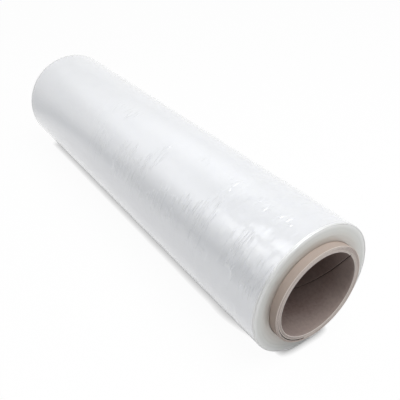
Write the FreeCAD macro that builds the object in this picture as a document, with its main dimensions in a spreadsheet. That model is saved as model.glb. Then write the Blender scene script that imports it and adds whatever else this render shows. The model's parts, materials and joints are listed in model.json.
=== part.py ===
import FreeCAD, Part
import math
import os

import Sketcher

# A roll of clear stretch wrap that lies on its side: film wound tight on a spirally wound paperboard
# core that stands out a little at both ends. Sizes are in millimetres.
# +X runs along the roll's axis to the end where one ply of the core has opened, and +Z is up.
# The origin is on the floor, under the middle of the roll.

# Each driving size: its name, its value and what it measures.
SIZES = (
    ("film_width", 450, "width of the film, along the axis"),
    ("film_diameter", 117, "outside of the wound film"),
    ("rim_radius", 1, "rounding of the film's two outer rims"),
    ("shoulder_width", 12, "stretch beside each rim where the film falls away"),
    ("shoulder_drop", 0.2, "how far it falls"),
    ("band_count", 6, "gauge bands between the shoulders"),
    ("band_depth", 0.4, "how far the lowest band dips below the highest"),
    ("turn_groups", 3, "groups of turns that stand apart on each end face"),
    ("turn_shift", 0.5, "how far a group of turns can sit back from the end face"),
    ("flat_width", 16, "flat spot that the roll's weight presses in the film"),
    ("core_bore", 76.2, "inside of the core, the standard three inches"),
    ("core_overhang", 7, "how far the core stands out of the film at each end"),
    ("core_ease", 0.4, "worn corners of the core's cut ends"),
    ("ply_count", 6, "plies of board through the core's wall"),
    ("ply_thickness", 0.9, "thickness of one ply"),
    ("ply_line_width", 0.26, "line between two plies on a cut end"),
    ("ply_line_depth", 0.3, "depth of that line"),
    ("seam_lead", 140, "axial travel of the inner ply's seam in one turn"),
    ("seam_width", 0.8, "gap between the edges of the inner ply"),
    ("seam_mouth_angle", 42, "where the seam meets the +X end, from +Y towards +Z"),
    ("gap_ply", 3, "ply line that has opened at the +X end, counted from the bore"),
    ("gap_width", 0.75, "widest opening of that line"),
    ("gap_depth", 3, "how far the opening goes into the core"),
    ("gap_start_angle", -104, "where the opening is widest, from +Y towards +Z"),
    ("gap_sweep", 105, "how far round the bore it narrows to nothing"),
)

# Sizes that follow from the driving ones, as expressions on the sheet.
FILM_RADIUS = "(sizes.film_diameter / 2)"
BORE_RADIUS = "(sizes.core_bore / 2)"
CORE_RADIUS = f"({BORE_RADIUS} + sizes.ply_count * sizes.ply_thickness)"
CORE_LENGTH = "(sizes.film_width + 2 * sizes.core_overhang)"
AXIS_HEIGHT = f"sqrt({FILM_RADIUS} ^ 2 - (sizes.flat_width / 2) ^ 2)"

# A cutter runs this far past the face that it enters.
CUT_OVER = 2.0

# Edges are picked by where they lie, within this distance.
FIND_WITHIN = 0.01

# Chords that make up a rounded rim.
RIM_CHORDS = 2

ORIGIN = (-1, 1)


def make_sheet(doc):
    sheet = doc.addObject("Spreadsheet::Sheet", "sizes")
    for row, (name, value, meaning) in enumerate(SIZES, start=1):
        sheet.set(f"A{row}", meaning)
        sheet.set(f"B{row}", str(value))
        sheet.setAlias(f"B{row}", name)
    doc.recompute()
    return sheet


def number(sheet, expression):
    """Works an expression out on the sheet as a plain number."""
    return float(sheet.evalExpression(expression))


def make_body(doc, name):
    """A body whose own X axis is the roll's axis, lifted to the height where the flat spot rests."""
    body = doc.addObject("PartDesign::Body", name)
    body.Label = name
    body.setExpression("Placement.Base.z", AXIS_HEIGHT)
    return body


def add_sketch(body, name, role):
    sketch = body.newObject("Sketcher::SketchObject", name)
    plane = next(part for part in body.Origin.OriginFeatures if part.Role == role)
    sketch.AttachmentSupport = [(plane, "")]
    sketch.MapMode = "FlatFace"
    return sketch


def add_outline(sketch, sheet, corners):
    """Joins the corners, each a pair of expressions, with straight lines into a closed outline."""
    places = [FreeCAD.Vector(number(sheet, across), number(sheet, up), 0) for across, up in corners]
    first = sketch.GeometryCount
    count = len(places)
    for index, place in enumerate(places):
        line = Part.LineSegment(place, places[(index + 1) % count])
        sketch.addGeometry(line, False)
    for index, (across, up) in enumerate(corners):
        line = first + index
        following = first + (index + 1) % count
        sketch.addConstraint(Sketcher.Constraint("Coincident", line, 2, following, 1))
        for kind, expression in (("DistanceX", across), ("DistanceY", up)):
            value = number(sheet, expression)
            rule = sketch.addConstraint(Sketcher.Constraint(kind, *ORIGIN, line, 1, value))
            sketch.setExpression(f"Constraints[{rule}]", expression)


def add_circle(sketch, sheet, radius):
    """A circle about the sketch's origin, its radius an expression."""
    centre = FreeCAD.Vector(0, 0, 0)
    value = number(sheet, radius)
    circle = sketch.addGeometry(Part.Circle(centre, FreeCAD.Vector(0, 0, 1), value), False)
    sketch.addConstraint(Sketcher.Constraint("Coincident", circle, 3, *ORIGIN))
    rule = sketch.addConstraint(Sketcher.Constraint("Radius", circle, value))
    sketch.setExpression(f"Constraints[{rule}]", radius)


def rim_edges(feature, radius, half_length):
    """Names of a feature's round edges of one radius that lie at its two ends."""
    names = []
    for index, edge in enumerate(feature.Shape.Edges, start=1):
        curve = edge.Curve
        if not isinstance(curve, Part.Circle):
            continue
        at_end = abs(abs(curve.Center.x) - half_length) < FIND_WITHIN
        if at_end and abs(curve.Radius - radius) < FIND_WITHIN:
            names.append(f"Edge{index}")
    return names


def spread(index, pace):
    """An uneven share from 0 to 1 that differs from one index to the next."""
    return 0.5 + 0.5 * math.sin(pace * index)


def film_outline(sheet):
    """Half section of the wound film, as (distance from the -X end, distance from the axis)."""
    band_count = round(number(sheet, "sizes.band_count"))
    group_count = round(number(sheet, "sizes.turn_groups"))
    rim = f"({FILM_RADIUS} - sizes.shoulder_drop)"
    face_height = f"({rim} - sizes.rim_radius - {CORE_RADIUS})"

    # On an end face the groups of turns sit back unevenly. The outermost group is flush.
    face = []
    for group in range(group_count - 1):
        setback = f"sizes.turn_shift * {spread(group, 1.9):.3f}"
        for share in (group / group_count, (group + 1) / group_count):
            face.append((setback, f"{CORE_RADIUS} + {face_height} * {share:.4f}"))
    share = (group_count - 1) / group_count
    face.append(("0 * sizes.film_width", f"{CORE_RADIUS} + {face_height} * {share:.4f}"))

    # The rim is rounded, in a few short chords.
    for chord in range(RIM_CHORDS + 1):
        turn = math.radians(90 * (1 - chord / RIM_CHORDS))
        inset = f"sizes.rim_radius * {1 - math.sin(turn):.4f}"
        face.append((inset, f"{rim} - sizes.rim_radius * {1 - math.cos(turn):.4f}"))

    # Between the shoulders, tighter bands of film stand a little proud of slacker ones.
    shoulder = "sizes.shoulder_width"
    surface = [(shoulder, FILM_RADIUS)]
    for band in range(1, band_count):
        share = (band + 0.6 * (spread(band, 1.7) - 0.5)) / band_count
        place = f"{shoulder} + (sizes.film_width - 2 * {shoulder}) * {share:.4f}"
        surface.append((place, f"{FILM_RADIUS} - sizes.band_depth * {spread(band, 2.1):.3f}"))
    surface.append((f"sizes.film_width - {shoulder}", FILM_RADIUS))

    other_face = [(f"sizes.film_width - {inset}", radius) for inset, radius in reversed(face)]
    return face + surface + other_face


def build_film(doc, sheet):
    body = make_body(doc, "film_roll")

    # The turns of film as one solid of revolution, its section drawn below the axis.
    section = add_sketch(body, "film_section", "XZ_Plane")
    section.setExpression("AttachmentOffset.Base.x", "-sizes.film_width / 2")
    below = [(along, f"-({radius})") for along, radius in film_outline(sheet)]
    add_outline(section, sheet, below)
    turns = body.newObject("PartDesign::Revolution", "film_turns")
    turns.Profile = section
    turns.ReferenceAxis = (section, ["H_Axis"])
    turns.Angle = 360
    doc.recompute()

    # The flat spot under the roll.
    under = add_sketch(body, "flat_section", "YZ_Plane")
    side = f"({FILM_RADIUS} + {CUT_OVER})"
    add_outline(under, sheet, (
        (f"-{side}", f"-{side}"),
        (side, f"-{side}"),
        (side, f"-{AXIS_HEIGHT}"),
        (f"-{side}", f"-{AXIS_HEIGHT}"),
    ))
    flat = body.newObject("PartDesign::Pocket", "flat_spot")
    flat.Profile = under
    flat.Midplane = True
    flat.setExpression("Length", f"sizes.film_width + {2 * CUT_OVER}")
    doc.recompute()

    return body


def add_ply_lines(body, sheet):
    """Cuts the fine ring that shows between every second pair of plies into both ends of the core."""
    rings = add_sketch(body, "ply_sections", "XZ_Plane")
    half_width = "sizes.ply_line_width / 2"
    for line in range(1, round(number(sheet, "sizes.ply_count")), 2):
        radius = f"{BORE_RADIUS} + {line} * sizes.ply_thickness"
        for sign in ("", "-"):
            face = f"{sign}{CORE_LENGTH} / 2"
            root = f"{sign}({CORE_LENGTH} / 2 - sizes.ply_line_depth)"
            corners = ((face, f"{radius} - {half_width}"), (root, radius), (face, f"{radius} + {half_width}"))
            add_outline(rings, sheet, corners)
    groove = body.newObject("PartDesign::Groove", "ply_lines")
    groove.Profile = rings
    groove.ReferenceAxis = (rings, ["H_Axis"])
    groove.Angle = 360


def add_seam(body, sheet):
    """Cuts the open butt seam of the inner ply, a helix that runs the whole length of the bore."""
    travel = f"({CORE_LENGTH} + {2 * CUT_OVER})"
    turned = f"360 * ({CORE_LENGTH} + {CUT_OVER}) / sizes.seam_lead"
    seam = add_sketch(body, "seam_section", "XY_Plane")
    about_axis = FreeCAD.Rotation(FreeCAD.Vector(1, 0, 0), 1)
    seam.AttachmentOffset = FreeCAD.Placement(FreeCAD.Vector(0, 0, 0), about_axis)
    seam.setExpression("AttachmentOffset.Rotation.Angle", f"mod(sizes.seam_mouth_angle - {turned}; 360)")
    seam.setExpression("AttachmentOffset.Base.x", f"-{travel} / 2")
    inner = f"{BORE_RADIUS} - sizes.ply_thickness"
    outer = f"{BORE_RADIUS} + sizes.ply_thickness"
    near = "-sizes.seam_width / 2"
    far = "sizes.seam_width / 2"
    add_outline(seam, sheet, ((near, inner), (far, inner), (far, outer), (near, outer)))
    helix = body.newObject("PartDesign::SubtractiveHelix", "seam")
    helix.Profile = seam
    helix.ReferenceAxis = (seam, ["H_Axis"])
    helix.Mode = "pitch-height-angle"
    helix.setExpression("Pitch", "sizes.seam_lead")
    helix.setExpression("Height", travel)


def add_ply_gap(body, sheet):
    """Opens one ply line at the +X end: a thin wedge that starts blunt and narrows round the bore."""
    inner = f"({BORE_RADIUS} + sizes.gap_ply * sizes.ply_thickness)"
    outer = f"({inner} + sizes.gap_width)"
    start = math.radians(number(sheet, "sizes.gap_start_angle"))
    sweep = math.radians(number(sheet, "sizes.gap_sweep"))
    seated_radius = number(sheet, inner)
    lifted_radius = number(sheet, outer)
    normal = FreeCAD.Vector(0, 0, 1)

    gap = add_sketch(body, "gap_section", "YZ_Plane")
    gap.setExpression("AttachmentOffset.Base.z", f"{CORE_LENGTH} / 2")
    direction = FreeCAD.Vector(math.cos(start), math.sin(start), 0)
    blunt = gap.addGeometry(Part.LineSegment(direction * seated_radius, direction * lifted_radius), False)
    for end, radius in ((1, inner), (2, outer)):
        for kind, turn in (("DistanceX", "cos"), ("DistanceY", "sin")):
            expression = f"{radius} * {turn}(sizes.gap_start_angle)"
            rule = Sketcher.Constraint(kind, *ORIGIN, blunt, end, number(sheet, expression))
            gap.setExpression(f"Constraints[{gap.addConstraint(rule)}]", expression)

    # The seated side follows the ply. The lifted side has its centre on the line of the blunt end.
    circle = Part.Circle(FreeCAD.Vector(0, 0, 0), normal, seated_radius)
    seated = gap.addGeometry(Part.ArcOfCircle(circle, start - sweep, start), False)
    gap.addConstraint(Sketcher.Constraint("Coincident", seated, 3, *ORIGIN))
    gap.addConstraint(Sketcher.Constraint("Coincident", seated, 2, blunt, 1))
    rule = gap.addConstraint(Sketcher.Constraint("Angle", seated, sweep))
    gap.setExpression(f"Constraints[{rule}]", "sizes.gap_sweep * 1 deg")
    tip = seated_radius * math.cos(sweep)
    shift = (lifted_radius ** 2 - seated_radius ** 2) / (2 * (lifted_radius - tip))
    circle = Part.Circle(direction * shift, normal, lifted_radius - shift)
    lifted = gap.addGeometry(Part.ArcOfCircle(circle, start - sweep, start), False)
    gap.addConstraint(Sketcher.Constraint("Coincident", lifted, 2, blunt, 2))
    gap.addConstraint(Sketcher.Constraint("Coincident", lifted, 1, seated, 1))
    gap.addConstraint(Sketcher.Constraint("PointOnObject", lifted, 3, blunt))

    pocket = body.newObject("PartDesign::Pocket", "ply_gap")
    pocket.Profile = gap
    pocket.setExpression("Length", "sizes.gap_depth")


def build_core(doc, sheet):
    body = make_body(doc, "core_tube")

    # The wall of the tube, all plies together.
    section = add_sketch(body, "core_section", "YZ_Plane")
    add_circle(section, sheet, CORE_RADIUS)
    add_circle(section, sheet, BORE_RADIUS)
    wall = body.newObject("PartDesign::Pad", "core_wall")
    wall.Profile = section
    wall.Midplane = True
    wall.setExpression("Length", CORE_LENGTH)
    doc.recompute()

    half_length = number(sheet, f"{CORE_LENGTH} / 2")
    ease = body.newObject("PartDesign::Chamfer", "core_ease")
    ease.Base = (wall, rim_edges(wall, number(sheet, CORE_RADIUS), half_length))
    ease.setExpression("Size", "sizes.core_ease")
    doc.recompute()

    add_ply_lines(body, sheet)
    doc.recompute()
    add_seam(body, sheet)
    doc.recompute()
    add_ply_gap(body, sheet)
    doc.recompute()
    return body


def check(doc, bodies):
    for item in doc.Objects:
        if "Invalid" in item.State or "Error" in item.State:
            raise RuntimeError(f"{item.Name} could not be built: {item.State}")
    for body in bodies:
        if body.Shape.isNull() or not body.Shape.isValid():
            raise RuntimeError(f"{body.Label} has no valid shape")


def main():
    doc = FreeCAD.newDocument("stretch_wrap_roll")
    sheet = make_sheet(doc)
    bodies = [build_core(doc, sheet), build_film(doc, sheet)]
    doc.recompute()
    check(doc, bodies)
    os.makedirs("parts", exist_ok=True)
    for body in bodies:
        body.Shape.exportStep(f"parts/{body.Label}.step")
        print(body.Label, f"{body.Shape.Volume:.0f} mm3", body.Shape.optimalBoundingBox(False, False))


main()
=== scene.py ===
import json
import math

import bmesh
import bpy
from mathutils import Matrix, Vector, noise


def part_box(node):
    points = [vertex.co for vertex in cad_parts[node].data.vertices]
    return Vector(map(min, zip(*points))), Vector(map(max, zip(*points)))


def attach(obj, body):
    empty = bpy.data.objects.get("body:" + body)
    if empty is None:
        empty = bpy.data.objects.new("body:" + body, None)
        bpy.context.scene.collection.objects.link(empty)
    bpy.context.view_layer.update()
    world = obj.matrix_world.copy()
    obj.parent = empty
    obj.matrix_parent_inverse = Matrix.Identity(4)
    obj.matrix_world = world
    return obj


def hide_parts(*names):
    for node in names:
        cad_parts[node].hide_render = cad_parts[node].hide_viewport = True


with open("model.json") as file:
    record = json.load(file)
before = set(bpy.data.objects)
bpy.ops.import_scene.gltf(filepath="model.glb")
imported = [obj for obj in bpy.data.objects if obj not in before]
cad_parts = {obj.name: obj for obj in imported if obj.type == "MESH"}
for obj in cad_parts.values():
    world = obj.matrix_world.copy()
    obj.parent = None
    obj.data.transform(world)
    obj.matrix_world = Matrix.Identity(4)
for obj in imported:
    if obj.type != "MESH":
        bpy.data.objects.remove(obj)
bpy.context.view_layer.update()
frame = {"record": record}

# A roll of clear stretch film on a spirally wound paperboard core, lying on its side.
# Metres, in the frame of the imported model: +X along the roll's axis to the end with the opened ply,
# +Z up, the floor at z = 0.

MM = 0.001
FULL_TURN = 2 * math.pi

# Sizes read from the frame.
film_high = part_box("film_roll")[1]
core_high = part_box("core_tube")[1]
bore = next(mount for mount in frame["record"]["mounts"] if mount["name"] == "core_bore")
AXIS_HEIGHT = bore["pos_m"][2]
BORE_RADIUS = bore["dims"]["r_mm"] * MM
FILM_RADIUS = film_high[1]
FILM_END = film_high[0]
CORE_RADIUS = core_high[1]
CORE_END = core_high[0]
AXIS = Vector((0.0, 0.0, AXIS_HEIGHT))


# Round pieces

MERGE_WITHIN = 0.002 * MM
SAME_PLACE = 0.01 * MM


def polar(place):
    """The distance from the roll's axis and the angle about it, from +Y towards +Z."""
    return math.hypot(place.y, place.z - AXIS_HEIGHT), math.atan2(place.z - AXIS_HEIGHT, place.y)


def from_polar(along, radius, angle):
    return Vector((along, radius * math.cos(angle), AXIS_HEIGHT + radius * math.sin(angle)))


def round_place(angle, scale):
    """A place on a circle of the noise, so that what goes round the roll meets itself."""
    return scale * math.cos(angle), scale * math.sin(angle)


def turn_apart(angle, other):
    """The signed difference between two angles, within half a turn."""
    return (angle - other + math.pi) % FULL_TURN - math.pi


def smooth(value, low, high):
    """0 below low, 1 above high, and an even rise between them."""
    share = min(max((value - low) / (high - low), 0.0), 1.0)
    return share * share * (3 - 2 * share)


def spin_section(section, steps):
    """Spins a closed half section, as (along, radius) points, once about the roll's axis."""
    mesh = bmesh.new()
    corners = [mesh.verts.new((along, 0.0, AXIS_HEIGHT - radius)) for along, radius in section]
    edges = [mesh.edges.new((corner, corners[index - 1])) for index, corner in enumerate(corners)]
    bmesh.ops.spin(mesh, geom=corners + edges, cent=AXIS, axis=(1, 0, 0), angle=FULL_TURN,
                   steps=steps, use_merge=True, use_duplicate=False)
    bmesh.ops.remove_doubles(mesh, verts=mesh.verts, dist=MERGE_WITHIN)
    return mesh


def finish_piece(mesh, name, node, material):
    """Turns a bmesh into a smooth piece that stands for a CAD node."""
    bmesh.ops.recalc_face_normals(mesh, faces=mesh.faces)
    for face in mesh.faces:
        face.smooth = True
    data = bpy.data.meshes.new(name)
    mesh.to_mesh(data)
    mesh.free()
    piece = bpy.data.objects.new(name, data)
    bpy.context.collection.objects.link(piece)
    data.materials.append(material)
    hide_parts(node)
    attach(piece, "root")
    return piece


# Wound film

RIM_RADIUS = 1.0 * MM
RIM_STEPS = 4
SHOULDER_WIDTH = 12 * MM
SHOULDER_DROP = 0.2 * MM
FILM_STEPS = 240
COARSE_RING = 4.0 * MM
FINE_RING = 1.5 * MM
FINE_FROM = -0.03
FINEST_RING = 0.75 * MM
FINEST_FROM = 0.14
FACE_RINGS = 34
# Gauge bands: how deep they dip, the shares of that for the mean, the broad and the narrow bands, their
# widths, and where along the axis the narrow ones set in.
BAND_DEPTH = 0.4 * MM
MEAN_DIP, BROAD_DIP, NARROW_DIP = 0.45, 0.4, 0.2
BROAD_BAND = 26 * MM
NARROW_BAND = 6.5 * MM
NARROW_FROM, NARROW_FULL = 0.11, 0.19
# Places along the axis where one band of even tension ends and the next begins.
TENSION_EDGES = (0.142, 0.150, 0.155, 0.163, 0.169, 0.178, 0.184, 0.193, 0.1985, 0.203, 0.207, 0.216)
TENSION_STEP = 0.32 * MM
TENSION_EASE = 0.5 * MM
TENSION_SINK = 0.3
TENSION_LANE = 7.3
TENSION_ROUND = 5.5
# Ripples of the outer turns: their lengths along the axis, their scales round it, and their heights.
BROAD_RIPPLE, SHORT_RIPPLE = 13 * MM, 4.5 * MM
BROAD_RIPPLE_ROUND, SHORT_RIPPLE_ROUND = 1.7, 3.1
RIPPLE_HEIGHT, NEAR_RIPPLE_HEIGHT, SHORT_RIPPLE_HEIGHT = 0.06 * MM, 0.16 * MM, 0.03 * MM
RIPPLE_FROM, RIPPLE_FULL = 0.02, 0.16
# End faces: the width of a group of turns, and how far the groups and their finer turns sit back.
TURN_GROUP = 1.9 * MM
GROUP_PACE, FINE_PACE = 0.9, 4.0
SETBACK, GROUP_SETBACK, FINE_SETBACK = 0.2 * MM, 0.22 * MM, 0.08 * MM
# Separate lanes through the noise.
BROAD_LANE, NARROW_LANE, GROUP_LANE, FINE_LANE = 3.7, 9.1, 5.3, 1.2


def band_dip(along):
    """How far the outside dips below its full radius: broad gauge bands, narrower near the +X end."""
    broad = noise.noise(Vector((along / BROAD_BAND, BROAD_LANE, 0.0)))
    narrow = noise.noise(Vector((along / NARROW_BAND, NARROW_LANE, 0.0)))
    near = smooth(along, NARROW_FROM, NARROW_FULL)
    return BAND_DEPTH * (MEAN_DIP + BROAD_DIP * broad + NARROW_DIP * near * narrow)


def shoulder_dip(along):
    inset = FILM_END - abs(along)
    return SHOULDER_DROP * (1 - smooth(inset, 0.0, SHOULDER_WIDTH))


def film_section():
    """Half section of the wound film: outside, rims and end faces."""
    rim_top = FILM_RADIUS - SHOULDER_DROP
    face_high = rim_top - RIM_RADIUS
    section = []
    along = -FILM_END + RIM_RADIUS
    while along < FILM_END - RIM_RADIUS - 0.1 * MM:
        section.append((along, FILM_RADIUS))
        if along > FINEST_FROM:
            along += FINEST_RING
        elif along > FINE_FROM:
            along += FINE_RING
        else:
            along += COARSE_RING
    quarter = [math.pi / 2 * step / RIM_STEPS for step in range(RIM_STEPS + 1)]
    rim = [(RIM_RADIUS * (1 - math.sin(turn)), face_high + RIM_RADIUS * math.cos(turn)) for turn in quarter]
    face_width = face_high - CORE_RADIUS
    face = [(0.0, face_high - face_width * ring / FACE_RINGS) for ring in range(1, FACE_RINGS + 1)]
    end = rim[::-1] + face
    section += [(FILM_END - inset, radius) for inset, radius in end]
    section += [(-FILM_END + inset, radius) for inset, radius in reversed(end[1:])]
    return section


def build_film():
    mesh = spin_section(film_section(), FILM_STEPS)
    face_high = FILM_RADIUS - SHOULDER_DROP - RIM_RADIUS
    for vertex in mesh.verts:
        radius, angle = polar(vertex.co)
        along = vertex.co.x
        inset = FILM_END - abs(along)
        if inset >= RIM_RADIUS - SAME_PLACE and radius > face_high:
            settled = smooth(inset, RIM_RADIUS, SHOULDER_WIDTH)
            radius = FILM_RADIUS - shoulder_dip(along) - band_dip(along) * settled
            radius += (ripple(along, angle) + tension_step(along, angle)) * settled
            radius = min(radius, FILM_RADIUS)
        elif inset < RIM_RADIUS / 2 and CORE_RADIUS + 0.1 * MM < radius <= face_high + SAME_PLACE:
            along -= math.copysign(turn_setback(radius, angle), along)
        vertex.co = from_polar(along, radius, angle)
        # The flat spot that the roll rests on.
        vertex.co.z = max(vertex.co.z, 0.0)
    return finish_piece(mesh, "wound_film", "film_roll", film_material())


def turn_setback(radius, angle):
    """How far a turn sits back from the end face: the turns follow one spiral, in uneven groups."""
    wound = radius / TURN_GROUP - angle / FULL_TURN
    group = noise.noise(Vector((wound * GROUP_PACE, GROUP_LANE, 0.0)))
    fine = noise.noise(Vector((wound * FINE_PACE, FINE_LANE, 0.0)))
    return SETBACK + GROUP_SETBACK * group + FINE_SETBACK * fine


def tension_step(along, angle):
    """The last bands at the +X end, each wound with its own tension, so each lies a little differently."""
    lift = 0.0
    for number, edge in enumerate(TENSION_EDGES):
        begun = smooth(along, edge - TENSION_EASE, edge + TENSION_EASE)
        if begun == 0.0:
            break
        own = noise.noise(Vector((TENSION_LANE * (number + 1), *round_place(angle, TENSION_ROUND))))
        lift += begun * (own * TENSION_STEP - lift)
    return lift - TENSION_SINK * TENSION_STEP


def ripple(along, angle):
    """Uneven tension in the outer turns, stronger towards the +X end."""
    broad = noise.noise(Vector((along / BROAD_RIPPLE, *round_place(angle, BROAD_RIPPLE_ROUND))))
    short = noise.noise(Vector((along / SHORT_RIPPLE, *round_place(angle, SHORT_RIPPLE_ROUND))))
    near = smooth(along, RIPPLE_FROM, RIPPLE_FULL)
    return (RIPPLE_HEIGHT + NEAR_RIPPLE_HEIGHT * near) * broad + SHORT_RIPPLE_HEIGHT * near * short


# Paperboard core

PLY = 0.9 * MM
PLY_COUNT = 6
PLY_LINE_WIDTH = 0.22 * MM
PLY_LINE_DEPTH = 0.3 * MM
SEAM_LEAD = 140 * MM
SEAM_WIDTH = 1.0 * MM
SEAM_DEPTH = 0.9 * PLY
# Where the four columns of the seam stand, as shares of half its width: its floor and its edges.
SEAM_FLOOR_SHARE, SEAM_EDGE_SHARE = 0.75, 1.05
SEAM_MOUTH_ANGLE = math.radians(42)
GAP_PLY = 3
GAP_WIDTH = 1.05 * MM
GAP_DEPTH = 3 * MM
GAP_START = math.radians(-104)
GAP_SWEEP = math.radians(105)
# The opened ply is blunt at its start, over these angles, and as deep as it gets from this width on.
GAP_BLUNT_FROM, GAP_BLUNT_TO = -0.02, 0.01
GAP_DEEP_WIDTH = 0.4 * MM
CORE_EASE = 0.35 * MM
BORE_EASE = 0.12 * MM
CORE_STEPS = 360
BORE_RING = 4.0 * MM
# Rings on the core's outside, just inside the cut ends.
OUTSIDE_RINGS = (4 * MM, 9 * MM)


def core_section():
    """Half section of the core: bore, cut ends with a line at every ply, and outside."""
    face = [(0.0, BORE_RADIUS + BORE_EASE)]
    for line in range(1, PLY_COUNT):
        radius = BORE_RADIUS + line * PLY
        face += [
            (0.0, radius - PLY_LINE_WIDTH / 2),
            (PLY_LINE_DEPTH, radius),
            (0.0, radius + PLY_LINE_WIDTH / 2),
            (0.0, radius + PLY / 2),
        ]
    face += [(0.0, CORE_RADIUS - CORE_EASE), (0.3 * CORE_EASE, CORE_RADIUS - 0.3 * CORE_EASE)]
    face += [(inset, CORE_RADIUS) for inset in (CORE_EASE, *OUTSIDE_RINGS)]
    rings = round(2 * CORE_END / BORE_RING)
    section = [(-CORE_END + BORE_EASE, BORE_RADIUS)]
    section += [(-CORE_END + 2 * CORE_END * ring / rings, BORE_RADIUS) for ring in range(1, rings)]
    section.append((CORE_END - BORE_EASE, BORE_RADIUS))
    section += [(CORE_END - inset, radius) for inset, radius in face]
    section += [(-CORE_END + inset, radius) for inset, radius in reversed(face)]
    return section


def gap_opening(angle):
    """Width of the opened ply line at an angle about the axis."""
    past = -turn_apart(angle, GAP_START)
    if not GAP_BLUNT_FROM < past < GAP_SWEEP:
        return 0.0
    blunt = smooth(past, GAP_BLUNT_FROM, GAP_BLUNT_TO)
    return GAP_WIDTH * blunt * (0.5 + 0.5 * math.cos(math.pi * past / GAP_SWEEP))


def open_gap(along, radius, angle):
    """Moves a point of the +X cut end where the ply line has opened."""
    line = BORE_RADIUS + GAP_PLY * PLY
    opening = gap_opening(angle)
    if along < CORE_END - 1.0 * MM or opening <= PLY_LINE_WIDTH:
        return along, radius
    extra = opening - PLY_LINE_WIDTH
    if abs(radius - line) < SAME_PLACE:
        depth = GAP_DEPTH * min(1.0, opening / GAP_DEEP_WIDTH)
        return CORE_END - depth, line + opening - PLY_LINE_WIDTH / 2
    if radius > line:
        share = (CORE_RADIUS - radius) / (CORE_RADIUS - line)
        return along, radius + extra * share
    return along, radius


def build_core():
    mesh = spin_section(core_section(), CORE_STEPS)
    column = FULL_TURN / CORE_STEPS
    seam_edge = SEAM_WIDTH / 2 / BORE_RADIUS
    start = -math.pi / 2
    for vertex in mesh.verts:
        radius, angle = polar(vertex.co)
        along = vertex.co.x
        offset = turn_apart(angle, start)
        place = round(offset / column)
        on_bore = radius < BORE_RADIUS + 0.2 * MM
        # The bore's mesh is turned with the seam, which is a sunk strip four columns wide.
        if abs(place) == 1:
            offset = math.copysign(seam_edge * SEAM_FLOOR_SHARE, place)
        if abs(place) == 2:
            offset = math.copysign(seam_edge * SEAM_EDGE_SHARE, place)
        if on_bore and abs(place) <= 1:
            radius = BORE_RADIUS + SEAM_DEPTH
        twist = FULL_TURN * (along - CORE_END) / SEAM_LEAD
        angle = SEAM_MOUTH_ANGLE + offset + twist
        along, radius = open_gap(along, radius, angle)
        vertex.co = from_polar(along, radius, angle)
    return finish_piece(mesh, "board_core", "core_tube", board_material())


# Materials

class Nodes:
    """Adds and joins the nodes of one material, group or world."""

    def __init__(self, tree):
        self.tree = tree
        self.tree.nodes.clear()

    def add(self, kind, inputs=None, **settings):
        node = self.tree.nodes.new(kind)
        for name, value in settings.items():
            setattr(node, name, value)
        for name, value in (inputs or {}).items():
            socket = node.inputs[name]
            if isinstance(value, bpy.types.NodeSocket):
                self.tree.links.new(value, socket)
            else:
                socket.default_value = value
        return node

    def math(self, operation, first, second=0.0, third=0.0):
        values = {0: first, 1: second, 2: third}
        return self.add("ShaderNodeMath", values, operation=operation).outputs[0]

    def rise(self, value, low, high):
        """0 below low and 1 above high, with a smooth rise between them."""
        inputs = {"Value": value, "From Min": low, "From Max": high}
        return self.add("ShaderNodeMapRange", inputs, interpolation_type="SMOOTHSTEP").outputs[0]

    def mix(self, share, first, second):
        node = self.add("ShaderNodeMix", data_type="RGBA")
        for socket, value in ((node.inputs[0], share), (node.inputs[6], first), (node.inputs[7], second)):
            if isinstance(value, bpy.types.NodeSocket):
                self.tree.links.new(value, socket)
            else:
                socket.default_value = value
        return node.outputs[2]

    def noise(self, vector, scale, detail=2.0, roughness=0.5):
        inputs = {"Vector": vector, "Scale": scale, "Detail": detail, "Roughness": roughness}
        return self.add("ShaderNodeTexNoise", inputs).outputs["Fac"]

    def stretched(self, place, along_scale, round_scale):
        """A place about the roll's axis, scaled along it and across it."""
        inputs = {"Vector": place, "Location": (0.0, 0.0, -round_scale * AXIS_HEIGHT),
                  "Scale": (along_scale, round_scale, round_scale)}
        return self.add("ShaderNodeMapping", inputs).outputs[0]

    def part(self, vector, axis):
        """The part of a vector along the axis X, Y or Z."""
        return self.add("ShaderNodeSeparateXYZ", {"Vector": vector}).outputs[axis]

    def vector(self, x, y, z):
        return self.add("ShaderNodeCombineXYZ", {"X": x, "Y": y, "Z": z}).outputs[0]

    def blend(self, share, first, second):
        """A value between two others."""
        return self.add("ShaderNodeMix", {"Factor": share, "A": first, "B": second}).outputs[0]

    def bump(self, height, distance, strength, normal=None):
        inputs = {"Height": height, "Distance": distance, "Strength": strength}
        if normal is not None:
            inputs["Normal"] = normal
        return self.add("ShaderNodeBump", inputs).outputs[0]


def roll_place_group():
    """A place on the roll: distance along the axis, distance from it, and the way round it."""
    group = bpy.data.node_groups.new("roll_place", "ShaderNodeTree")
    for name in ("Along", "Radius", "Across", "Up"):
        group.interface.new_socket(name, in_out="OUTPUT", socket_type="NodeSocketFloat")
    nodes = Nodes(group)
    place = nodes.add("ShaderNodeTexCoord").outputs["Object"]
    up = nodes.math("SUBTRACT", nodes.part(place, "Z"), AXIS_HEIGHT)
    across = nodes.part(place, "Y")
    squares = nodes.math("ADD", nodes.math("MULTIPLY", across, across), nodes.math("MULTIPLY", up, up))
    radius = nodes.math("SQRT", squares)
    result = {
        "Along": nodes.part(place, "X"),
        "Radius": radius,
        "Across": nodes.math("DIVIDE", across, radius),
        "Up": nodes.math("DIVIDE", up, radius),
    }
    nodes.add("NodeGroupOutput", result)
    return group


ROLL_PLACE = roll_place_group()

END_SLOPE = 0.18

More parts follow.
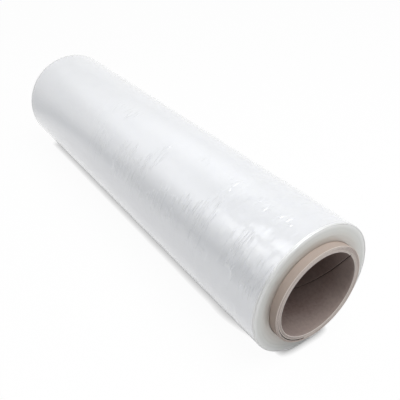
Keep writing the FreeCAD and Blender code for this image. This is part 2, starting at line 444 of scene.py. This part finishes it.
FILM_TINT = (0.85, 0.87, 0.905, 1.0)
FILM_CLOUD = (0.89, 0.90, 0.925, 1.0)
FILM_EDGE = (0.76, 0.77, 0.74, 1.0)
# Painted glow of light through the film's rim: near white.
FILM_RIM_PAINTED_LIGHT = (0.97, 0.98, 0.97, 1.0)
FILM_EDGE_INNER = (0.62, 0.57, 0.51, 1.0)
CLOUD_STRETCH, CLOUD_SCALE = 14, 1.6
TURN_LINE_SCALE = 2600
TURN_LINE_DEPTH = 0.1 * MM
TURN_LINE_SHARE = 0.15
# Widths of the rings where the board shows through and where the rim is painted paler, a painted glow of
# light shining through the film's thin rim.
BOARD_GLOW = 11 * MM
RIM_LIGHT_WIDTH = 5 * MM
# Scales of the stretch marks and of their patches, along the axis and round it.
LONG_MARK, SHORT_MARK, MARK_PATCH = (400, 24), (300, 85), (33, 26)
MARK_DEPTH = 0.3 * MM
MARK_LEAST, MARK_RANGE = 0.03, 0.97
# Where the marks fade in: along the axis, down from the top, and up from the axis.
MARKS_FROM, MARKS_FULL = -0.09, 0.0
TOP_CLEAR, TOP_MARKED = 0.0, -0.025
LOW_CLEAR, LOW_MARKED = AXIS_HEIGHT + 6 * MM, AXIS_HEIGHT + 22 * MM
# Across the roll, where the long marks give way to the short ones.
LONG_SIDE, SHORT_SIDE = -0.034, -0.024


def film_material():
    """Clear film in many layers: milky in the mass, glossy outside, greenish on the cut edge."""
    material = bpy.data.materials.new("wound_clear_film")
    material.use_nodes = True
    nodes = Nodes(material.node_tree)
    place = nodes.add("ShaderNodeGroup", node_tree=ROLL_PLACE)
    along = place.outputs["Along"]
    radius = place.outputs["Radius"]
    across = place.outputs["Across"]
    up = place.outputs["Up"]

    # The outside: a cloudy pale tint.
    soft_place = nodes.vector(nodes.math("MULTIPLY", along, CLOUD_STRETCH), across, up)
    cloud = nodes.noise(soft_place, CLOUD_SCALE, 3, 0.55)
    outside = nodes.mix(cloud, FILM_TINT, FILM_CLOUD)

    # The end faces: the film's edges in mass, with the board showing through near the core.
    inner = nodes.rise(radius, CORE_RADIUS + BOARD_GLOW, CORE_RADIUS - 1 * MM)
    turn_place = nodes.vector(nodes.math("MULTIPLY", radius, TURN_LINE_SCALE), across, up)
    turn_lines = nodes.noise(turn_place, 1.0, 2, 0.6)
    edge = nodes.mix(inner, FILM_EDGE, FILM_EDGE_INNER)
    edge = nodes.mix(nodes.math("MULTIPLY", turn_lines, TURN_LINE_SHARE), edge, FILM_CLOUD)
    # The rim is painted near white, a painted glow of light through the film's edge.
    edge = nodes.mix(nodes.rise(radius, FILM_RADIUS - RIM_LIGHT_WIDTH, FILM_RADIUS - RIM_RADIUS), edge, FILM_RIM_PAINTED_LIGHT)
    at_end = nodes.rise(nodes.math("ABSOLUTE", along), FILM_END - 3.0 * MM, FILM_END - 0.7 * MM)
    colour = nodes.mix(at_end, outside, edge)

    # Stretch marks: lines round the roll, in groups and mostly near the +X end, and short ones near the top.
    # They read the piece's own coordinates here, because they feed the coat too.
    own_place = nodes.add("ShaderNodeTexCoord").outputs["Object"]
    own_across = nodes.part(own_place, "Y")
    long_marks = nodes.rise(nodes.noise(nodes.stretched(own_place, *LONG_MARK), 1.0, 1, 0.5), 0.49, 0.57)
    short_marks = nodes.rise(nodes.noise(nodes.stretched(own_place, *SHORT_MARK), 1.0, 1, 0.5), 0.50, 0.58)
    marks = nodes.blend(nodes.rise(own_across, LONG_SIDE, SHORT_SIDE), long_marks, short_marks)
    patches = nodes.rise(nodes.noise(nodes.stretched(own_place, *MARK_PATCH), 1.0, 2, 0.5), 0.47, 0.55)
    zone = nodes.math("MULTIPLY", nodes.rise(nodes.part(own_place, "X"), MARKS_FROM, MARKS_FULL),
                      nodes.rise(own_across, TOP_CLEAR, TOP_MARKED))
    zone = nodes.math("MULTIPLY", zone, nodes.rise(nodes.part(own_place, "Z"), LOW_CLEAR, LOW_MARKED))
    strength = nodes.math("MULTIPLY_ADD", nodes.math("MULTIPLY", patches, zone), MARK_RANGE, MARK_LEAST)
    marked = nodes.bump(nodes.math("MULTIPLY", marks, strength), MARK_DEPTH, 1.0)
    # The outer turns slope back a little from the end face.
    sloped = nodes.bump(nodes.math("MULTIPLY", radius, -END_SLOPE), 1.0, 1.0, marked)
    surface = nodes.bump(turn_lines, TURN_LINE_DEPTH, 0.35, sloped)

    roughness = nodes.math("MULTIPLY_ADD", at_end, 0.3, nodes.math("MULTIPLY_ADD", cloud, 0.1, 0.14))
    shader = nodes.add("ShaderNodeBsdfPrincipled", {
        "Base Color": colour,
        "Metallic": 0.3,
        "Roughness": roughness,
        "IOR": 1.5,
        "Subsurface Weight": 0.5,
        "Subsurface Radius": (1.0, 1.0, 0.95),
        "Subsurface Scale": 0.012,
        "Coat Weight": 0.8,
        "Coat Roughness": 0.06,
        "Coat IOR": 1.5,
        "Normal": surface,
        "Coat Normal": marked,
    })
    nodes.add("ShaderNodeOutputMaterial", {"Surface": shader.outputs[0]})
    return material


BOARD_BORE = (0.26, 0.18, 0.16, 1.0)
BOARD_FIBRE = (0.19, 0.125, 0.115, 1.0)
BOARD_OUTSIDE = (0.43, 0.345, 0.295, 1.0)
BOARD_CUT = (0.93, 0.83, 0.765, 1.0)
BOARD_LIP = (0.90, 0.82, 0.77, 1.0)
BOARD_CUT_DARK = (0.72, 0.615, 0.565, 1.0)
PLY_LINE = (0.40, 0.32, 0.27, 1.0)
DEEP_SHADOW = (0.045, 0.03, 0.03, 1.0)
FIBRE_SCALE, MOTTLE_SCALE = 420, 38
FIBRE_DEPTH = 0.15 * MM
MOTTLE_SHARE = 0.24
# Painted light just inside the bore's mouths: how far in it reaches and how much paler it makes the wall.
MOUTH_LIGHT_WIDTH = 26 * MM
MOUTH_LIGHT_SHARE = 0.14
LINE_SHARE = 0.7
# Each ply takes its shade from its own lane through the noise.
PLY_LANE, PLY_SHADE_SCALE = 3.7, 0.9


def board_material():
    """Kraft board: fibrous and matt, with pale cut ends and dark lines between the plies."""
    material = bpy.data.materials.new("wound_kraft_board")
    material.use_nodes = True
    nodes = Nodes(material.node_tree)
    place = nodes.add("ShaderNodeGroup", node_tree=ROLL_PLACE)
    along = place.outputs["Along"]
    radius = place.outputs["Radius"]
    texture_place = nodes.add("ShaderNodeTexCoord").outputs["Object"]
    fibre = nodes.noise(texture_place, FIBRE_SCALE, 5, 0.65)
    mottle = nodes.noise(texture_place, MOTTLE_SCALE, 3, 0.5)
    inside = nodes.mix(nodes.rise(fibre, 0.35, 0.7), BOARD_BORE, BOARD_FIBRE)
    outer_wall = nodes.rise(radius, BORE_RADIUS + 1.5 * MM, CORE_RADIUS - 0.5 * MM)
    wall = nodes.mix(outer_wall, inside, BOARD_OUTSIDE)
    wall = nodes.mix(nodes.math("MULTIPLY", mottle, MOTTLE_SHARE), wall, BOARD_CUT)
    # The bore's wall is painted paler just inside the mouths: painted light that falls into the bore, fading
    # deeper in.
    mouth = nodes.rise(nodes.math("ABSOLUTE", along), CORE_END - MOUTH_LIGHT_WIDTH, CORE_END - 2 * MM)
    inner_wall = nodes.rise(radius, BORE_RADIUS + 1.5 * MM, BORE_RADIUS + 0.5 * MM)
    painted_mouth_light = nodes.math("MULTIPLY", mouth, inner_wall)
    wall = nodes.mix(nodes.math("MULTIPLY", painted_mouth_light, MOUTH_LIGHT_SHARE), wall, BOARD_CUT)

    # The cut ends: pale, with the plies' edges as fine rings.
    wound = nodes.math("DIVIDE", nodes.math("SUBTRACT", radius, BORE_RADIUS), PLY)
    in_ply = nodes.math("FRACT", nodes.math("ADD", wound, 0.5))
    apart = nodes.math("ABSOLUTE", nodes.math("SUBTRACT", in_ply, 0.5))
    line = nodes.rise(apart, 0.14, 0.04)
    ply = nodes.math("FLOOR", wound)
    across = place.outputs["Across"]
    up = place.outputs["Up"]
    ply_place = nodes.vector(nodes.math("MULTIPLY", ply, PLY_LANE), across, up)
    ply_shade = nodes.rise(nodes.noise(ply_place, PLY_SHADE_SCALE, 1, 0.5), 0.38, 0.62)
    cut = nodes.mix(ply_shade, BOARD_CUT_DARK, BOARD_CUT)
    cut = nodes.mix(nodes.math("MULTIPLY", line, LINE_SHARE), cut, PLY_LINE)
    cut = nodes.mix(nodes.rise(radius, BORE_RADIUS + 0.9 * MM, BORE_RADIUS + 0.3 * MM), cut, BOARD_LIP)
    at_end = nodes.rise(nodes.math("ABSOLUTE", along), CORE_END - 0.6 * MM, CORE_END - 0.25 * MM)
    colour = nodes.mix(at_end, wall, cut)

    # No light reaches the bottom of the seam and of the opened ply line.
    sunk = nodes.rise(radius, BORE_RADIUS + 0.25 * MM, BORE_RADIUS + 0.6 * MM)
    below_face = nodes.rise(nodes.math("ABSOLUTE", along), CORE_END - 0.06 * MM, CORE_END - 0.2 * MM)
    inside_wall = nodes.rise(radius, CORE_RADIUS - 0.3 * MM, CORE_RADIUS - 0.8 * MM)
    hidden = nodes.math("MULTIPLY", nodes.math("MULTIPLY", sunk, below_face), inside_wall)
    colour = nodes.mix(hidden, colour, DEEP_SHADOW)

    # The cut slopes back a little towards the outside.
    sloped = nodes.bump(nodes.math("MULTIPLY", radius, -END_SLOPE), 1.0, 1.0)
    grain = nodes.bump(fibre, FIBRE_DEPTH, 0.5, sloped)
    shader = nodes.add("ShaderNodeBsdfPrincipled", {
        "Base Color": colour,
        "Roughness": 0.82,
        "Normal": grain,
    })
    nodes.add("ShaderNodeOutputMaterial", {"Surface": shader.outputs[0]})
    return material


# Stage, light and camera

FLOOR_SIZE = 6.0
FLOOR_COLOUR = (0.55, 0.55, 0.555)
# The share of its true shade that the floor keeps where it is seen, and of the light that reaches it.
SHADE_SHARE = 0.1
OPEN_LIGHT = 0.9
# How far the contact shadow reaches from the roll: along its side, by its +X end, and in the film's gloss.
CONTACT_REACH = 12.5 * MM
END_CONTACT_REACH = 5.6 * MM
GLOSS_CONTACT_REACH = 21.5 * MM
END_FROM, END_FULL = 0.16, 0.23
SKY_STRENGTH = 0.56
FRONT_DIM = 0.7
FRONT_FULL = 0.8
PLAIN_WHITE = (1.0, 1.0, 1.0, 1.0)


def seen_directly(nodes):
    """1 for rays from the camera, from gloss and through clear things, and 0 for diffuse light."""
    path = nodes.add("ShaderNodeLightPath")
    sharp = nodes.math("MAXIMUM", path.outputs["Is Glossy Ray"], path.outputs["Is Transmission Ray"])
    return nodes.math("MAXIMUM", path.outputs["Is Camera Ray"], sharp)


def stage_object(name, mesh, material):
    data = bpy.data.meshes.new(name)
    mesh.to_mesh(data)
    mesh.free()
    data.materials.append(material)
    item = bpy.data.objects.new(name, data)
    bpy.context.collection.objects.link(item)
    return item


def floor_material():
    """White, and near white in the shadow too where the floor is seen, so only a soft shadow stays."""
    material = bpy.data.materials.new("white_floor")
    material.use_nodes = True
    nodes = Nodes(material.node_tree)
    seen = seen_directly(nodes)
    share = nodes.math("MULTIPLY_ADD", seen, SHADE_SHARE - 1, 1.0)
    colour = nodes.add("ShaderNodeVectorMath", {0: FLOOR_COLOUR, 1: nodes.vector(share, share, share)},
                       operation="MULTIPLY").outputs[0]
    diffuse = nodes.add("ShaderNodeBsdfDiffuse", {"Color": colour})
    gloss = nodes.add("ShaderNodeLightPath").outputs["Is Glossy Ray"]
    place = nodes.add("ShaderNodeTexCoord").outputs["Object"]
    near_end = nodes.rise(nodes.part(place, "X"), END_FROM, END_FULL)
    seen_reach = nodes.blend(near_end, CONTACT_REACH, END_CONTACT_REACH)
    reach = nodes.blend(gloss, seen_reach, GLOSS_CONTACT_REACH)
    openness = nodes.add("ShaderNodeAmbientOcclusion", {"Distance": reach}, samples=16).outputs["AO"]
    lift_share = nodes.math("MULTIPLY", openness, 1 - SHADE_SHARE * FLOOR_COLOUR[0] * OPEN_LIGHT)
    glow = nodes.math("MULTIPLY", seen, lift_share)
    lift = nodes.add("ShaderNodeEmission", {"Color": PLAIN_WHITE, "Strength": glow})
    both = nodes.add("ShaderNodeAddShader", {0: diffuse.outputs[0], 1: lift.outputs[0]})
    nodes.add("ShaderNodeOutputMaterial", {"Surface": both.outputs[0]})
    return material


def build_floor():
    mesh = bmesh.new()
    bmesh.ops.create_grid(mesh, x_segments=1, y_segments=1, size=FLOOR_SIZE / 2)
    stage_object("floor", mesh, floor_material())


def panel_material(name, colour, far_colour, strength, soft_foot, soft_top, soft_sides):
    """A reflector whose edges fade out over shares of its height and width, and whose colour may grade."""
    material = bpy.data.materials.new(name)
    material.use_nodes = True
    material.cycles.emission_sampling = "NONE"
    nodes = Nodes(material.node_tree)
    share = nodes.add("ShaderNodeUVMap", uv_map="share").outputs["UV"]
    across = nodes.part(share, "X")
    height = nodes.part(share, "Y")
    fade = nodes.rise(height, -0.001, soft_foot)
    fade = nodes.math("MULTIPLY", fade, nodes.rise(height, 1.001, 1 - soft_top))
    fade = nodes.math("MULTIPLY", fade, nodes.rise(across, -0.001, soft_sides))
    fade = nodes.math("MULTIPLY", fade, nodes.rise(across, 1.001, 1 - soft_sides))
    graded = nodes.mix(across, far_colour, colour)
    glow = nodes.add("ShaderNodeEmission", {"Color": graded, "Strength": strength})
    clear = nodes.add("ShaderNodeBsdfTransparent", {"Color": PLAIN_WHITE})
    both = nodes.add("ShaderNodeMixShader", {0: fade, 1: clear.outputs[0], 2: glow.outputs[0]})
    nodes.add("ShaderNodeOutputMaterial", {"Surface": both.outputs[0]})
    return material


def show_in_gloss_only(panel):
    panel.visible_camera = False
    panel.visible_shadow = False
    panel.visible_diffuse = False


CARD_COLOUR = (0.40, 0.41, 0.42, 1.0)
CARD_FAR_COLOUR = (0.79, 0.80, 0.81, 1.0)
CARD_SOFT_FOOT, CARD_SOFT_TOP, CARD_SOFT_SIDES = 0.45, 0.75, 0.02
# The card's grey changes over this length along the roll, and this share of it lies below x = 0.
CARD_SPAN, CARD_SHARE_BELOW = 0.7, 0.55
# Corners of the grey card: place on the floor and height of its top.
CARD_LINE = (
    (-0.28, -0.03, 0.11),
    (-0.275, -0.10, 0.12),
    (-0.29, -0.17, 0.14),
    (-0.19, -0.185, 0.18),
    (0.0, -0.19, 0.22),
    (0.30, -0.19, 0.24),
)


def build_card():
    """A low grey card round the far left of the set, a soft band in the film's gloss."""
    mesh = bmesh.new()
    feet = [mesh.verts.new((x, y, 0.0)) for x, y, _ in CARD_LINE]
    tops = [mesh.verts.new((x, y, height)) for x, y, height in CARD_LINE]
    foot_edges = [mesh.edges.new(pair) for pair in zip(feet, feet[1:])]
    top_edges = [mesh.edges.new(pair) for pair in zip(tops, tops[1:])]
    bmesh.ops.bridge_loops(mesh, edges=foot_edges + top_edges)
    share = mesh.loops.layers.uv.new("share")
    for face in mesh.faces:
        for loop in face.loops:
            is_top = loop.vert.co.z > 0
            loop[share].uv = (loop.vert.co.x / CARD_SPAN + CARD_SHARE_BELOW, float(is_top))
    material = panel_material("grey_card", CARD_COLOUR, CARD_FAR_COLOUR, 1.0,
                              CARD_SOFT_FOOT, CARD_SOFT_TOP, CARD_SOFT_SIDES)
    show_in_gloss_only(stage_object("grey_card", mesh, material))


# Bright panels: name, place, width, depth, strength and the share of each side over which its edges fade.
PANELS = (
    ("high_panel", (-0.46, 0.18, 0.6), 0.9, 0.6, 1.3, 0.45),
    ("side_panel", (-0.55, -0.38, 0.6), 1.5, 0.55, 1.3, 0.4),
    ("low_pane", (-0.29, -0.45, 0.6), 0.17, 0.19, 1.6, 0.06),
    ("high_pane", (-0.12, -0.20, 0.65), 0.18, 0.21, 1.6, 0.06),
    ("sparkle_panel", (-0.25, -0.35, 1.1), 0.25, 0.25, 3.0, 0.2),
)


def build_panel(name, place, width, depth, strength, soft):
    """A bright panel with soft edges that faces the roll, seen only in the film's gloss."""
    mesh = bmesh.new()
    mesh.loops.layers.uv.new("share")
    bmesh.ops.create_grid(mesh, x_segments=1, y_segments=1, size=0.5, calc_uvs=True)
    bmesh.ops.scale(mesh, verts=mesh.verts, vec=(width, depth, 1.0))
    towards = (AXIS - Vector(place)).to_track_quat("Z", "Y").to_matrix().to_4x4()
    bmesh.ops.transform(mesh, verts=mesh.verts, matrix=Matrix.Translation(place) @ towards)
    material = panel_material(name, PLAIN_WHITE, PLAIN_WHITE, strength, soft, soft, soft)
    show_in_gloss_only(stage_object(name, mesh, material))


def build_world():
    """White where it is seen, and a soft even sky for the light, dimmer from the +X side."""
    world = bpy.data.worlds.new("studio")
    world.use_nodes = True
    nodes = Nodes(world.node_tree)
    seen = seen_directly(nodes)
    way = nodes.add("ShaderNodeTexCoord").outputs["Generated"]
    front = nodes.rise(nodes.part(way, "X"), 0.0, FRONT_FULL)
    sky_light = nodes.math("MULTIPLY_ADD", front, -FRONT_DIM * SKY_STRENGTH, SKY_STRENGTH)
    strength = nodes.math("MAXIMUM", seen, sky_light)
    sky = nodes.add("ShaderNodeBackground", {"Color": PLAIN_WHITE, "Strength": strength})
    nodes.add("ShaderNodeOutputWorld", {"Surface": sky.outputs[0]})
    bpy.context.scene.world = world


SOFTBOX_PLACE = Vector((0.5, 0.15, 1.15))
SOFTBOX_TARGET = Vector((0.0, 0.0, 0.05))
SOFTBOX_SIZE = 0.9
SOFTBOX_POWER = 7.9


def add_softbox():
    """The one lamp: a large square softbox over the +X end."""
    lamp = bpy.data.lights.new("overhead_softbox", "AREA")
    lamp.shape = "SQUARE"
    lamp.size = SOFTBOX_SIZE
    lamp.energy = SOFTBOX_POWER
    softbox = bpy.data.objects.new("overhead_softbox", lamp)
    softbox.location = SOFTBOX_PLACE
    softbox.rotation_euler = (SOFTBOX_TARGET - SOFTBOX_PLACE).to_track_quat("-Z", "Y").to_euler()
    bpy.context.collection.objects.link(softbox)


CAMERA_PLACE = Vector((0.41346, -0.23468, 0.27697)) + AXIS
CAMERA_RIGHT = Vector((0.5690, 0.8224, 0.0))
CAMERA_FORWARD = Vector((-0.6822, 0.4720, -0.5584))
CAMERA_LENS = 46.63


def add_camera():
    camera = bpy.data.objects.new("camera", bpy.data.cameras.new("camera"))
    camera.data.lens = CAMERA_LENS
    camera.data.sensor_width = 36.0
    camera.data.clip_start = 0.01
    right = CAMERA_RIGHT.normalized()
    back = -CAMERA_FORWARD.normalized()
    up = back.cross(right).normalized()
    turned = Matrix((right, up, back)).transposed().to_4x4()
    camera.matrix_world = Matrix.Translation(CAMERA_PLACE) @ turned
    bpy.context.collection.objects.link(camera)
    bpy.context.scene.camera = camera


def main():
    add_camera()
    build_film()
    build_core()
    build_floor()
    build_card()
    for panel in PANELS:
        build_panel(*panel)
    build_world()
    add_softbox()
    bpy.context.scene.view_settings.view_transform = "Standard"


main()
